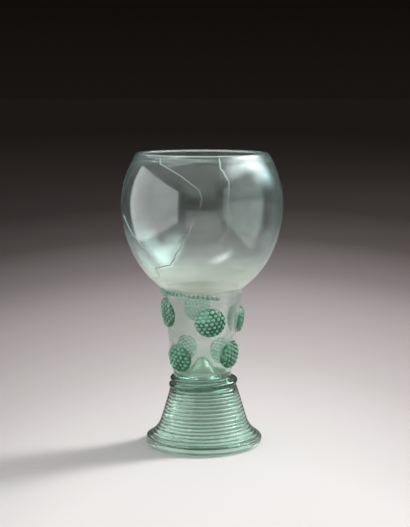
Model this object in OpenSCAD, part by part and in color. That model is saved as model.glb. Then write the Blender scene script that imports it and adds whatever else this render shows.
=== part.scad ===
// Roemer: a wine glass of green forest glass. A blown bowl stands on a hollow stem with two rows of
// raspberry prunts, a milled collar covers the neck, and the foot is wound from a glass trail.
// Millimetres, +Z up, standing on z = 0, with the front of the glass towards -Y.
// Azimuths are measured from the front, positive towards +X.

/* [Heights] */
// Height of the wound foot, up to its weld with the stem
foot_h = 42.6; // [36:0.2:50]
// Height of the stem, from the foot to the neck
stem_h = 54.8; // [46:0.2:64]
// Height of the bowl, from the neck to the top of the lip
bowl_h = 82.6; // [74:0.2:94]

/* [Bowl] */
// Largest outer radius of the bowl
bowl_r = 49.6; // [45:0.2:56]
// Height of the widest part above the neck
belly_h = 51.6; // [46:0.2:58]
// Radius of the mouth, at the middle of the lip
mouth_r = 39.7; // [35:0.1:43]
// Outer radius of the neck, where bowl and stem are welded
neck_r = 24.8; // [21:0.1:28]
// Slope of the bowl at the neck, from the vertical
neck_slope = 54; // [46:1:62]
// Thickness of the bowl wall
bowl_wall = 1.5; // [1:0.1:2.2]
// Thickness of the fire-polished lip
lip_d = 2; // [1.6:0.1:3]

/* [Stem] */
// Outer radius of the stem at its base
stem_base_r = 17.6; // [15:0.1:20]
// Thickness of the stem wall at its base
stem_wall = 2.2; // [1.6:0.1:3]
// Rounding of the lower outer edge of the stem
stem_edge_r = 0.8; // [0.4:0.1:1.2]
// Thickness of the floor of the stem
floor_t = 2; // [1.4:0.1:3]
// Rounding between the floor and the wall inside the stem
floor_round = 4; // [2:0.2:5]
// Height of the kick, the pushed-up cone in the floor
kick_h = 9.6; // [7:0.2:14]
// Radius of the round tip of the kick
kick_tip_r = 4.2; // [3:0.1:4.6]
// Slope of the sides of the kick, from the vertical
kick_slope = 37; // [28:1:44]
// Thickness of the glass of the kick
kick_wall = 1.4; // [1.2:0.1:2.6]

/* [Prunts] */
// Height of the upper row of prunts above the foot
upper_row_h = 36.2; // [34:0.2:40]
// Height of the lower row of prunts above the foot
lower_row_h = 14.2; // [13:0.2:17]
// Radius of the dome of a prunt
prunt_dome_r = 11.6; // [10:0.1:12.4]
// Height of the dome of a prunt off the stem
prunt_h = 3; // [2.4:0.1:3.6]
// Diameter of one bead of a prunt
bead_d = 2.4; // [1.4:0.1:2.6]
// Distance between neighbouring beads
bead_pitch = 2.7; // [2.45:0.05:3.4]

/* [Milled collar] */
// Half of the collar's width along the stem, over a tooth
collar_half_w = 1.3; // [0.9:0.05:1.5]
// Height of a collar tooth off the stem
collar_out = 1.5; // [1:0.1:2]
// Depth of a collar notch
collar_notch = 0.8; // [0.3:0.05:0.9]
// Length of one tooth of the collar
collar_tooth = 2.7; // [1.7:0.1:3.2]
// Distance of the collar's upper edge below the neck
collar_gap = 0.2; // [0.1:0.1:1]
// How far the collar's front end drops
collar_drop = 2.4; // [0:0.1:4]

/* [Foot] */
// Largest outer radius of the foot
foot_r = 36; // [33:0.1:41]
// Thickness of the foot wall in the grooves
foot_wall = 1.7; // [1.2:0.1:2.4]
// Turns of the fine trail
trail_turns = 15; // [10:1:20]
// Height of the trail's ridges above the grooves
ridge_h = 0.6; // [0.3:0.05:0.9]
// Radius of the flare's hollow curve
flare_r = 19; // [14:0.5:24]
// Steepest slope of the flare, from the vertical
flare_slope = 62; // [54:0.5:68]
// Radius of the curve that turns the flare down again
turn_down_r = 3.8; // [3:0.1:9]
// Slope of the wall where it meets the base rim, from the vertical
rim_slope = 44; // [30:1:50]
// Height of the base rim
rim_h = 3.5; // [3:0.1:5]
// Width of the base rim
rim_w = 5.6; // [5:0.1:7]
// Radius of the round outer edge of the base rim, which meets the table inside it
rim_round = 3.4; // [2.8:0.1:3.8]

/* [Foot ring] */
// Half of the width of the ring's thick trail
ring_half_w = 1.9; // [1.2:0.05:2]
// Height of the thick trail off the foot
ring_out = 2.2; // [1.4:0.1:2.6]
// Drop of the thick trail in one turn, along the wall
ring_pitch = 4.2; // [4.1:0.1:4.9]
// Distance of the thick trail's start below the stem, along the wall
ring_start = 2; // [1.95:0.05:3]
// Turns of the thick trail
ring_turns = 1.5; // [1.2:0.1:1.8]

/* [Hidden] */
$fn = 96;
bowl_glass = [0.74, 0.84, 0.79, 0.55];
stem_glass = [0.66, 0.82, 0.74, 0.6];
trail_glass = [0.42, 0.66, 0.54, 0.75];
prunt_glass = [0.23, 0.5, 0.38, 0.85];

neck_z = foot_h + stem_h;
glass_h = neck_z + bowl_h;
widest_z = neck_z + belly_h;

// Prunts: name, azimuth, height above the foot
upper_prunts = [
    ["upper_prunt_front", 12.5, upper_row_h],
    ["upper_prunt_left", -71, upper_row_h + 4],
    ["upper_prunt_right", 102, upper_row_h - 1.6],
    ["upper_prunt_back", 190, upper_row_h + 2.2],
];
lower_prunts = [
    ["lower_prunt_left", -48, lower_row_h - 1.2],
    ["lower_prunt_right", 61, lower_row_h + 0.5],
    ["lower_prunt_back_right", 138, lower_row_h - 1.8],
    ["lower_prunt_back_left", 217, lower_row_h],
];
prunts = concat(upper_prunts, lower_prunts);

// Upper bowl: one arc through the middle of the wall, upright at the widest part, up to the lip
mouth_rise = bowl_h - belly_h - lip_d / 2;
mouth_inset = bowl_r - bowl_wall / 2 - mouth_r;
upper_mid_r = (mouth_rise * mouth_rise + mouth_inset * mouth_inset) / (2 * mouth_inset);
upper_arc_r = upper_mid_r + bowl_wall / 2;
upper_turn = asin(mouth_rise / upper_mid_r);

// Lower bowl: two arcs with equal tangents, upright at the widest part, at neck_slope at the neck
down = [0, -1];
neck_dir = [-sin(neck_slope), -cos(neck_slope)];
chord = [neck_r - bowl_r, -belly_h];
quad_a = 2 * (down * neck_dir - 1);
quad_b = -2 * chord * (down + neck_dir);
tangent_len = (-quad_b - sqrt(quad_b * quad_b - 4 * quad_a * chord * chord)) / (2 * quad_a);
joint_dir = chord - tangent_len * (down + neck_dir);
flank_turn = atan2(-joint_dir[0], -joint_dir[1]);
flank_arc_r = tangent_len / tan(flank_turn / 2);
base_arc_r = tangent_len / tan((neck_slope - flank_turn) / 2);
base_arc_c = [neck_r - base_arc_r * cos(neck_slope), neck_z + base_arc_r * sin(neck_slope)];
neck_drop = base_arc_c[1] - neck_z;
neck_inner_r = base_arc_c[0] + sqrt(pow(base_arc_r - bowl_wall, 2) - neck_drop * neck_drop);
neck_overrun = 15;

// One curved stretch of the bowl wall between two angles, seen in section
module wall_arc(centre, outer_r, from, to) {
    reach = 2 * outer_r;
    translate(centre)
        intersection() {
            difference() {
                circle(outer_r);
                circle(outer_r - bowl_wall);
            }
            polygon([[0, 0], reach * [cos(from), sin(from)], reach * [cos(to), sin(to)]]);
        }
}

module bowl() {
    color(bowl_glass)
        rotate_extrude()
            intersection() {
                union() {
                    wall_arc([bowl_r - upper_arc_r, widest_z], upper_arc_r, 0, upper_turn);
                    wall_arc([bowl_r - flank_arc_r, widest_z], flank_arc_r, -flank_turn, 0);
                    wall_arc(base_arc_c, base_arc_r, -neck_slope - neck_overrun, -flank_turn);
                    translate([mouth_r, glass_h - lip_d / 2]) circle(d = lip_d);
                }
                translate([0, neck_z]) square([2 * bowl_r, 2 * bowl_h]);
            }
}

// Region from the axis out to a leaning side, with its lower corner rounded
module tapered(low_r, low_z, top_r, top_z, corner_r) {
    lean = atan2(top_r - low_r, top_z - low_z);
    corner = [low_r + corner_r * tan(lean) - corner_r / cos(lean), low_z + corner_r];
    side = corner + corner_r * [cos(lean), -sin(lean)];
    polygon([[0, low_z], [corner[0], low_z], side, [top_r, top_z], [0, top_z]]);
    translate(corner) circle(corner_r);
}

floor_z = foot_h + floor_t;

// Outline of the kick, set in by a distance, running down through the floor
module kick_outline(inset) {
    tip_r = kick_tip_r - inset;
    tip_z = floor_z + kick_h - kick_tip_r;
    side = [tip_r * cos(kick_slope), tip_z + tip_r * sin(kick_slope)];
    low_z = foot_h - floor_t;
    low_r = side[0] + (side[1] - low_z) * tan(kick_slope);
    polygon([[0, low_z], [low_r, low_z], side, [0, side[1]]]);
    translate([0, tip_z]) circle(tip_r);
}

module stem() {
    color(stem_glass)
        rotate_extrude()
            difference() {
                tapered(stem_base_r, foot_h, neck_r, neck_z, stem_edge_r);
                difference() {
                    tapered(stem_base_r - stem_wall, floor_z, neck_inner_r, neck_z, floor_round);
                    kick_outline(0);
                }
                kick_outline(kick_wall);
            }
}

stem_lean = atan2(neck_r - stem_base_r, stem_h);
function stem_r(h) = stem_base_r + h * tan(stem_lean);

// A point near the stem: azimuth, height above the foot, distance up along the side and out from it
function by_stem(azimuth, h, up, out) =
    let (r = stem_r(h) + up * sin(stem_lean) + out * cos(stem_lean))
    let (z = foot_h + h + up * cos(stem_lean) - out * sin(stem_lean))
    [r * sin(azimuth), -r * cos(azimuth), z];

// Raspberry prunt: a dome with beads in a hexagonal pattern, pressed on the leaning stem
bead_rows = ceil(prunt_dome_r / bead_pitch);
// Least distance of a bead from the stem
bead_clear = 0.05;

// Height of the dome above the plane that touches the stem, at a distance from the prunt's middle
function dome_at(d) = sqrt(prunt_dome_r * prunt_dome_r - d * d) - prunt_dome_r + prunt_h;

// How far the round stem falls away from that plane
function stem_fall(x, r) = r - sqrt(r * r - x * x);

// Puts a shape on the stem, with its own +Z square to the leaning side
module on_stem(azimuth, h) {
    rotate([0, 0, azimuth])
        translate([0, -stem_r(h), foot_h + h])
            rotate([90 + stem_lean, 0, 0])
                children();
}

module prunt_beads(r) {
    for (row = [-bead_rows:bead_rows], step = [-bead_rows:bead_rows]) {
        x = bead_pitch * (step + (row % 2 == 0 ? 0 : 0.5));
        y = bead_pitch * row * sin(60);
        d = norm([x, y]);
        if (d < prunt_dome_r && dome_at(d) + stem_fall(x, r) > bead_d / 2 + bead_clear)
            translate([x, y, dome_at(d)]) sphere(d = bead_d);
    }
}

module prunt(azimuth, h) {
    reach = 2 * prunt_dome_r;
    color(prunt_glass) {
        difference() {
            on_stem(azimuth, h)
                translate([0, 0, prunt_h - prunt_dome_r])
                    sphere(prunt_dome_r);
            translate([0, 0, foot_h + h - reach])
                cylinder(h = 2 * reach, r1 = stem_r(h - reach), r2 = stem_r(h + reach));
        }
        on_stem(azimuth, h) prunt_beads(stem_r(h));
    }
}

// Triangles that join rings of points into a skin; an open skin gets a cap at each end
function skin_faces(rings, points, closed) = concat(
    [for (i = [0:rings - (closed ? 1 : 2)], j = [0:points - 1], half = [0, 1])
        let (a = i * points, b = ((i + 1) % rings) * points, k = (j + 1) % points)
        half == 0 ? [a + j, a + k, b + j] : [a + k, b + k, b + j]],
    closed ? [] : [for (j = [1:points - 2]) [0, j + 1, j]],
    closed ? [] : [for (j = [1:points - 2], last = (rings - 1) * points) [last, last + j, last + j + 1]]
);

module skin(rings, closed) {
    points = len(rings[0]);
    polyhedron([for (r = rings) each r], skin_faces(len(rings), points, closed));
}

// Milled collar: a trail with pinched notches. It starts low at the front right, climbs to the neck
// by the left side and ends at the right after its way round the back.
collar_from = 26;
collar_to = -250;
collar_level = -90;
collar_sides = 5;
collar_h = stem_h - collar_gap - collar_half_w;
collar_run = stem_r(collar_h) * (collar_from - collar_to) * PI / 180;
collar_teeth = floor(collar_run / collar_tooth);

function collar_height(azimuth) =
    collar_h - collar_drop * pow(max(0, azimuth - collar_level) / (collar_from - collar_level), 3);

function collar_ring(azimuth, notched) =
    let (out = collar_out - (notched ? collar_notch : 0))
    let (half_w = collar_half_w * (notched ? 0.8 : 1))
    [for (k = [0:collar_sides])
        let (a = 180 * k / collar_sides)
        by_stem(azimuth, collar_height(azimuth), half_w * cos(a), out * sin(a))];

module milled_collar() {
    steps = 2 * collar_teeth;
    color(prunt_glass)
        skin([for (i = [0:steps])
            collar_ring(collar_from + (collar_to - collar_from) * i / steps, i % 2 == 0)], false);
}

// Foot wall, followed from the stem down: a straight cone that touches the hollow curve of the
// flare, then the curve that turns it down to the base rim
rim_rise = rim_h - rim_round;
rim_top_r = foot_r - rim_round + sqrt(rim_round * rim_round - rim_rise * rim_rise);
flare_c = [rim_top_r, rim_h]
    + flare_r * [cos(flare_slope), sin(flare_slope)]
    + turn_down_r * [cos(flare_slope) - cos(rim_slope), sin(flare_slope) - sin(rim_slope)];
to_flare = flare_c - [stem_base_r, foot_h];
cone_slope = atan2(to_flare[1], to_flare[0]) + acos(flare_r / norm(to_flare));
flare_start = flare_c - flare_r * [cos(cone_slope), sin(cone_slope)];
flare_end = flare_c - flare_r * [cos(flare_slope), sin(flare_slope)];
turn_down_c = flare_end - turn_down_r * [cos(flare_slope), sin(flare_slope)];
cone_len = norm(flare_start - [stem_base_r, foot_h]);
flare_len = flare_r * (flare_slope - cone_slope) * PI / 180;
wall_len = cone_len + flare_len + turn_down_r * (flare_slope - rim_slope) * PI / 180;

// Slope of the wall from the vertical, and its place, at a distance along it from the stem
function wall_slope(s) =
    s < cone_len ? cone_slope
    : s < cone_len + flare_len ? cone_slope + (s - cone_len) / flare_r * 180 / PI
    : flare_slope - (s - cone_len - flare_len) / turn_down_r * 180 / PI;

function wall_at(s) =
    let (a = wall_slope(s))
    s < cone_len ? [stem_base_r, foot_h] + s * [sin(cone_slope), -cos(cone_slope)]
    : s < cone_len + flare_len ? flare_c - flare_r * [cos(a), sin(a)]
    : turn_down_c + turn_down_r * [cos(a), sin(a)];

// A point near the foot wall: azimuth, distance along the wall, distance out from it
function by_foot(azimuth, s, out) =
    let (p = wall_at(s) + out * [cos(wall_slope(s)), sin(wall_slope(s))])
    [p[0] * sin(azimuth), -p[0] * cos(azimuth), p[1]];

// Points round one turn of the foot and the ring
turn_steps = 36;

// Foot ring: the thick first turns of the trail, laid over the top of the foot, thin at both ends
ring_sides = 6;
ring_from = 290;
ring_fade = 40;
ring_steps = round(ring_turns * turn_steps);

function ring_azimuth(i) = ring_from - 360 * i / turn_steps;
function ring_way(i) = ring_start + ring_pitch * i / turn_steps;
function ring_fullness(i) =
    let (ends = min(i, ring_steps - i) * 360 / turn_steps / ring_fade)
    0.4 + 0.6 * sin(90 * min(1, ends));

function ring_section(i) = [for (k = [0:ring_sides])
    let (a = 180 * k / ring_sides)
    by_foot(ring_azimuth(i), ring_way(i) + ring_half_w * ring_fullness(i) * cos(a),
        ring_out * ring_fullness(i) * sin(a))];

module foot_ring() {
    color(trail_glass)
        skin([for (i = [0:ring_steps]) ring_section(i)], false);
}

// Foot trail: the fine turns, melted into one wall with a helical ridge outside and smooth inside
ridge_start = ring_start + ring_pitch * ring_turns + ring_half_w;
trail_pitch = (wall_len - ridge_start) / trail_turns;
rows_per_turn = 4;
trail_rows = trail_turns * rows_per_turn;
inner_rows = 13;

function ridge(s, azimuth) =
    let (turn = (s - ridge_start) / trail_pitch + azimuth / 360)
    let (across = 2 * (turn - floor(turn)) - 1)
    let (fade = max(0, min(1, (s - ridge_start) / trail_pitch, (wall_len - s) / trail_pitch)))
    ridge_h * fade * sqrt(1 - across * across);

function inner_point(azimuth, s) =
    let (p = wall_at(s), r = p[0] - foot_wall / cos(wall_slope(s)))
    [r * sin(azimuth), -r * cos(azimuth), p[1]];

function trail_section(azimuth) = concat(
    [by_foot(azimuth, 0, 0)],
    [for (i = [0:trail_rows])
        let (s = ridge_start + trail_pitch * i / rows_per_turn)
        by_foot(azimuth, s, ridge(s, azimuth))],
    [for (i = [inner_rows:-1:0]) inner_point(azimuth, wall_len * i / inner_rows)]
);

module foot_trail() {
    color(trail_glass)
        skin([for (i = [0:turn_steps - 1]) trail_section(360 * i / turn_steps)], true);
}

module base_rim() {
    color(trail_glass)
        rotate_extrude()
            intersection() {
                translate([foot_r - rim_w, 0]) square([rim_w, rim_h]);
                union() {
                    translate([foot_r - rim_w, 0]) square([rim_w - rim_round, rim_h]);
                    translate([foot_r - rim_round, rim_round]) circle(rim_round);
                }
            }
}

// Least gap between neighbouring turns of the thick trail, measured between its edge points
ring_gap = min([for (i = [0:ring_steps - turn_steps])
    norm(ring_section(i)[0] - ring_section(i + turn_steps)[ring_sides])]);
echo(str("Least gap between turns of the foot ring: ", ring_gap, " mm"));
// Thinnest weld between neighbouring fine turns, measured in the grooves
trail_weld = min([for (i = [0:trail_turns])
    norm(by_foot(0, ridge_start + trail_pitch * i, 0) - inner_point(0, ridge_start + trail_pitch * i))]);
echo(str("Glass left in the grooves of the foot trail: ", trail_weld, " mm"));

bowl();
stem();
milled_collar();
for (p = prunts)
    prunt(p[1], p[2]);
foot_ring();
foot_trail();
base_rim();
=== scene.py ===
import math
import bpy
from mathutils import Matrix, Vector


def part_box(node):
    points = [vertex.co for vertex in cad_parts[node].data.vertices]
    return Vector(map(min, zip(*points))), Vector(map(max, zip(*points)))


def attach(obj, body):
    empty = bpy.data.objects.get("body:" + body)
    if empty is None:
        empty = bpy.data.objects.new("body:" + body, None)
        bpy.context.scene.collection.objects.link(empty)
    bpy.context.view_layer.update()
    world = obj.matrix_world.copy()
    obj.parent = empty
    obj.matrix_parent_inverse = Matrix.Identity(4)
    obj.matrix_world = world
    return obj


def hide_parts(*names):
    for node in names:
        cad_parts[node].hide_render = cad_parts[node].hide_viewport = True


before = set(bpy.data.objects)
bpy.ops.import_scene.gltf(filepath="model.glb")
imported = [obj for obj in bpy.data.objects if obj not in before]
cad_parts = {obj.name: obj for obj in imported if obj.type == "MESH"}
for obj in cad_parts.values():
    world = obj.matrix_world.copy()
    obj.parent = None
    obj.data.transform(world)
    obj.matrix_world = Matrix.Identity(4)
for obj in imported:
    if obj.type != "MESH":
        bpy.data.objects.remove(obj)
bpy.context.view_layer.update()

from types import SimpleNamespace

import bpy
import numpy as np
from bpy.props import FloatProperty, FloatVectorProperty, PointerProperty
from mathutils import Vector

bl_info = {
    "name": "Roemer Glass",
    "version": (1, 0, 0),
    "blender": (4, 5, 0),
    "location": "View3D > Sidebar > Roemer",
    "description": "Builds a prunted roemer of green forest glass and a small studio stage for it",
    "category": "Add Mesh",
}

# Shapes are worked out in millimetres and the stage in metres. Azimuths are degrees from the front of the
# glass, which faces -Y, and grow towards +X.
MM = 0.001
# Air left between two welded pieces, too thin to see
WELD_GAP = 0.03
# Faces that meet at a larger angle keep a crease
CREASE = math.radians(60)


def linear(code):
    """Linear RGB of an sRGB hex colour."""
    parts = [int(code[i : i + 2], 16) / 255 for i in (1, 3, 5)]
    return tuple(c / 12.92 if c <= 0.04045 else ((c + 0.055) / 1.055) ** 2.4 for c in parts)


def length(name, description, millimetres):
    """A length property with its default in millimetres."""
    return FloatProperty(
        name=name, description=description, default=millimetres * MM, min=0, precision=5, unit="LENGTH"
    )


def colour(name, description, code):
    """A colour property with its default as an sRGB hex value."""
    return FloatVectorProperty(
        name=name, description=description, default=linear(code), subtype="COLOR", min=0, max=1
    )


class RoemerSizes(bpy.types.PropertyGroup):
    """Sizes of the glass. What its solids fix comes from the frame."""

    glass_height: length("Height", "Height of the whole glass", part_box("bowl")[1].z / MM)
    bowl_radius: length("Bowl radius", "Largest radius of the bowl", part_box("bowl")[1].x / MM)
    belly_height: length("Belly height", "Height of the widest part of the bowl", 149.0)
    mouth_radius: length("Mouth radius", "Radius at the middle of the lip", 39.7)
    lip: length("Lip", "Thickness of the fire-polished lip", 2.0)
    bowl_wall: length("Bowl wall", "Thickness of the bowl's wall", 1.5)
    neck_height: length("Neck height", "Height of the weld of bowl and stem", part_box("bowl")[0].z / MM)
    neck_radius: length("Neck radius", "Radius of the weld of bowl and stem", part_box("stem")[1].x / MM)
    stem_radius: length("Stem radius", "Radius of the stem at its base", 17.6)
    stem_wall: length("Stem wall", "Thickness of the stem's wall at its base", 2.2)
    floor: length("Stem floor", "Thickness of the stem's floor", 2.0)
    kick: length("Kick", "Height of the kick above the floor", 9.6)
    kick_tip: length("Kick tip", "Radius of the kick's round tip", 4.2)
    kick_wall: length("Kick wall", "Thickness of the kick's glass", 1.4)
    prunt_height: length("Prunt height", "Height of a prunt's dome off the stem", 2.8)
    prunt_half_width: length("Prunt half width", "Half of a prunt's width round the stem", 9.4)
    prunt_half_height: length("Prunt half height", "Half of a prunt's height up the stem", 8.6)
    bead_pitch: length("Bead pitch", "Distance between neighbouring beads of a prunt", 2.7)
    bead_height: length("Bead height", "Height of a bead above the dome", 1.2)
    collar_half_width: length("Collar half width", "Half of the milled collar's width", 1.3)
    collar_height: length("Collar height", "Height of a collar tooth off the stem", 1.5)
    collar_tooth: length("Collar tooth", "Length of one tooth of the collar", 2.7)
    foot_height: length("Foot height", "Height of the weld of stem and foot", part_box("stem")[0].z / MM)
    foot_radius: length("Foot radius", "Largest radius of the foot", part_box("base_rim")[1].x / MM)
    foot_wall: length("Foot wall", "Thickness of the foot's wall in its grooves", 1.7)
    rim_height: length("Rim height", "Height of the base rim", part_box("base_rim")[1].z / MM)
    rim_width: length("Rim width", "Width of the base rim", 5.6)
    rim_round: length("Rim round", "Radius of the round outer edge of the base rim", 3.4)
    foot_offset: length("Foot offset", "How far the foot was set to the right of the stem", 1.05)


class RoemerColours(bpy.types.PropertyGroup):
    """Colours of the glass and the stage."""

    bowl_glass: colour("Bowl glass", "What the thin blown glass lets through", "#8EDFDD")
    stem_glass: colour("Stem glass", "What the thicker glass of the stem lets through", "#B2DFD2")
    applied_glass: colour("Applied glass", "What the thick applied glass lets through", "#74DFBE")
    # Painted light and shade of stamped glass: tops and teeth are painted lighter, gaps and notches darker
    pressed_top_light: colour("Pressed tops", "Tint of the tops of beads", "#CBF5E0")
    pressed_side_shade: colour("Pressed sides", "Tint of the sides of beads", "#5CCB9F")
    milled_tooth_light: colour("Milled teeth", "Tint of the collar's teeth", "#B4E0CB")
    milled_notch_shade: colour("Milled notches", "Tint of the collar's notches", "#3B7A61")
    pressed_gap_shade: colour("Pressed gaps", "Tint of the gaps between beads", "#05351F")
    rear_top_light: colour("Rear tops", "Tint of the tops of beads at the back", "#D8F5E8")
    rear_gap_shade: colour("Rear gaps", "Tint of the gaps between beads at the back", "#7CBDA2")
    foot_glass: colour("Foot glass", "What the wound foot lets through", "#7AC5AA")
    crack: colour("Crack", "Broken faces of the old cracks", "#E9F0EC")
    # Paper with painted light: near colour in the painted pool of light, a tint where the pool fades, and the
    # far colour where the paper is painted dark
    floor_near: colour("Near floor", "Paper in front of the glass", "#F6F2F1")
    floor_middle: colour("Middle floor", "Tint of the paper where it grows darker", "#F6E7E9")
    floor_far: colour("Far floor", "Paper far behind the glass", "#221D1A")


def brightness(name, description, value):
    """A brightness property."""
    return FloatProperty(name=name, description=description, default=value, min=0)


class RoemerStage(bpy.types.PropertyGroup):
    """Brightness of the stage's lamps and cards and of the room."""

    key: brightness("Key", "Brightness of the key lamp, which lights the floor", 70)
    key_face: brightness("Key face", "Brightness of the key as the glass mirrors it", 7)
    canopy: brightness("Canopy", "Brightness of the wide lamp over the right", 7.4)
    strip: brightness("Strip", "Brightness of the strip lamp over the left", 6.5)
    left_card: brightness("Left card", "Brightness of the card at the left", 1.88)
    right_card: brightness("Right card", "Brightness of the card at the right", 0.42)
    right_glow: brightness("Right glow", "Brightness of the cool light at the far right", 2.2)
    low_cards: brightness("Low cards", "Brightness of the low cards beside the foot", 1.8)
    glint: brightness("Glint", "Brightness of the lamp that the thick turns mirror", 14.0)
    front_card: brightness("Front card", "Brightness of the low card in front", 0.45)
    ceiling: brightness("Ceiling", "Brightness of the room's ceiling", 0.68)


def in_millimetres(sizes):
    """The sizes as plain numbers in millimetres."""
    return SimpleNamespace(**{key: getattr(sizes, key) / MM for key in type(sizes).__annotations__})


# Meshes


def around(radius, azimuth, height):
    """Points at a radius and an azimuth round the axis of the glass, at a height."""
    a = np.radians(azimuth)
    return np.stack(np.broadcast_arrays(radius * np.sin(a), -radius * np.cos(a), height), axis=-1)


def full_turn(count, start=0):
    """Azimuths of the points of a ring, as one row."""
    return np.linspace(start, start + 360, count, endpoint=False)[None, :]


def smooth_step(x, start, end):
    """0 before start, 1 after end, and an S-shaped cubic between them."""
    t = np.clip((x - start) / (end - start), 0, 1)
    return t * t * (3 - 2 * t)


def arc(centre, radius, start, end, step=0.6):
    """Points of an arc about centre between two angles in degrees, about step mm apart. A list of radii gives
    one point for each of them."""
    count = np.size(radius)
    if count == 1:
        count = max(3, math.ceil(abs(math.radians(end - start)) * radius / step))
    a = np.radians(np.linspace(start, end, count))
    return np.column_stack([centre[0] + radius * np.cos(a), centre[1] + radius * np.sin(a)])


def evenly(points, step):
    """A broken line resampled at even distances of about step mm."""
    points = np.asarray(points, float)
    way = np.r_[0, np.cumsum(np.linalg.norm(np.diff(points, axis=0), axis=1))]
    at = np.linspace(0, way[-1], max(2, round(way[-1] / step) + 1))
    return np.column_stack([np.interp(at, way, points[:, k]) for k in range(points.shape[1])])


def softened(points, step, width):
    """A broken line resampled and averaged over width mm, which rounds its corners and keeps its ends."""
    line = evenly(points, step)
    half = max(1, round(width / step / 2))
    padded = np.vstack([2 * line[0] - line[half:0:-1], line, 2 * line[-1] - line[-2 : -half - 2 : -1]])
    kernel = np.hanning(2 * half + 3)[1:-1]
    kernel /= kernel.sum()
    return np.column_stack([np.convolve(values, kernel, "valid") for values in padded.T])


def ring_faces(count, points, closed):
    """Four-sided faces between neighbouring rings of points and, if closed, from the last to the first."""
    here = np.arange(count if closed else count - 1)[:, None] * points
    there = (here + points) % (count * points)
    col = np.arange(points)[None, :]
    after = (col + 1) % points
    return np.stack([here + col, here + after, there + after, there + col], axis=-1).reshape(-1, 4)


def shell(name, rings, weld, closed, press=None):
    """Object with a closed skin over rings of points in millimetres, rings x points x 3.

    Each ring is a closed loop and neighbouring rings are joined by four-sided faces. A closed shell also
    joins its last ring to its first; an open one ends in a fan round the middle of each end ring. weld says
    how far each point is inside a weld: the surface is clear above 0.5. A stamped piece also gets a mask of
    painted light and shade, from 0 in its gaps, painted darker, to 1 on its tops, painted lighter. Faces are
    turned outwards.
    """
    count, points, _ = rings.shape
    verts = rings.reshape(-1, 3)
    marks = {"weld": np.broadcast_to(weld, (count, points)).reshape(-1)}
    if press is not None:
        marks["press"] = np.broadcast_to(press, (count, points)).reshape(-1)
    quads = ring_faces(count, points, closed)
    fans = np.empty((0, 3), int)
    if not closed:
        col = np.arange(points)
        after = (col + 1) % points
        last = (count - 1) * points
        middle = len(verts)
        verts = np.vstack([verts, rings[0].mean(0), rings[-1].mean(0)])
        marks["weld"] = np.r_[marks["weld"], marks["weld"][[0, last]]]
        if press is not None:
            marks["press"] = np.r_[marks["press"], 1, 1]
        first_fan = np.stack(np.broadcast_arrays(middle, after, col), axis=-1)
        last_fan = np.stack(np.broadcast_arrays(middle + 1, last + col, last + after), axis=-1)
        fans = np.vstack([first_fan, last_fan])
    halves = np.vstack([quads[:, :3], quads[:, [0, 2, 3]], fans])
    a, b, c = (verts[halves[:, k]] for k in range(3))
    if np.einsum("ij,ij->i", a, np.cross(b, c)).sum() < 0:
        quads, fans = quads[:, ::-1], fans[:, ::-1]
    mesh = bpy.data.meshes.new(name)
    mesh.from_pydata((verts * MM).tolist(), [], quads.tolist() + fans.tolist())
    for mark, values in marks.items():
        mesh.attributes.new(mark, "FLOAT", "POINT").data.foreach_set("value", values.astype(np.float32))
    mesh.shade_smooth()
    mesh.set_sharp_from_angle(angle=CREASE)
    piece = bpy.data.objects.new(name, mesh)
    bpy.context.collection.objects.link(piece)
    return piece


def finish_piece(piece, material, slot, *nodes):
    """Gives a piece its material and its place in the frame."""
    piece.data.materials.append(material)
    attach(piece, "root")
    if nodes:
        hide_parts(*nodes)


# Bowl


# Slope of the bowl's side at the neck, in degrees from upright
NECK_SLOPE = 54
# Share of the way from the belly to the lip where the wall begins to thicken
LIP_FROM = 0.82
# Most that the blown bowl falls short of a true circle
WAVER = 0.35


def bowl_arcs(s):
    """The bowl's outer arcs from the neck up, each as centre, radius, first and last angle.

    Above the belly one arc through the middle of the wall is upright at the belly and ends in the lip. Below
    it two arcs with tangents of equal length turn from upright to the slope of the neck.
    """
    rise = s.glass_height - s.belly_height - s.lip / 2
    inset = s.bowl_radius - s.bowl_wall / 2 - s.mouth_radius
    middle = (rise**2 + inset**2) / (2 * inset)
    slope = math.radians(NECK_SLOPE)
    # The length of the tangents solves a quadratic equation
    chord = np.array([s.neck_radius - s.bowl_radius, s.neck_height - s.belly_height])
    both = np.array([-math.sin(slope), -1 - math.cos(slope)])
    qa, qb, qc = 2 * (math.cos(slope) - 1), -2 * chord @ both, chord @ chord
    tangent = (-qb - math.sqrt(qb * qb - 4 * qa * qc)) / (2 * qa)
    joint = chord - tangent * both
    turn = math.atan2(-joint[0], -joint[1])
    flank = tangent / math.tan(turn / 2)
    base = tangent / math.tan((slope - turn) / 2)
    base_centre = (s.neck_radius - base * math.cos(slope), s.neck_height + base * math.sin(slope))
    upper_centre = (s.bowl_radius - middle - s.bowl_wall / 2, s.belly_height)
    turn = math.degrees(turn)
    return [
        (base_centre, base, -NECK_SLOPE, -turn),
        ((s.bowl_radius - flank, s.belly_height), flank, -turn, 0),
        (upper_centre, middle + s.bowl_wall / 2, 0, math.degrees(math.asin(rise / middle))),
    ]


def neck_inner_radius(s):
    """Inner radius of the flat weld between bowl and stem."""
    centre, radius, *_ = bowl_arcs(s)[0]
    return centre[0] + math.sqrt((radius - s.bowl_wall) ** 2 - (centre[1] - s.neck_height) ** 2)


def bowl_outer_radius(s, height):
    """Outer radius of the bowl at a height."""
    radius = np.zeros_like(height)
    for centre, r, low, high in bowl_arcs(s):
        z_low, z_high = (centre[1] + r * math.sin(math.radians(a)) for a in (low, high))
        on = (height >= z_low - 1e-6) & (height <= z_high + 1e-6)
        radius[on] = centre[0] + np.sqrt(r * r - (height[on] - centre[1]) ** 2)
    return radius


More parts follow.
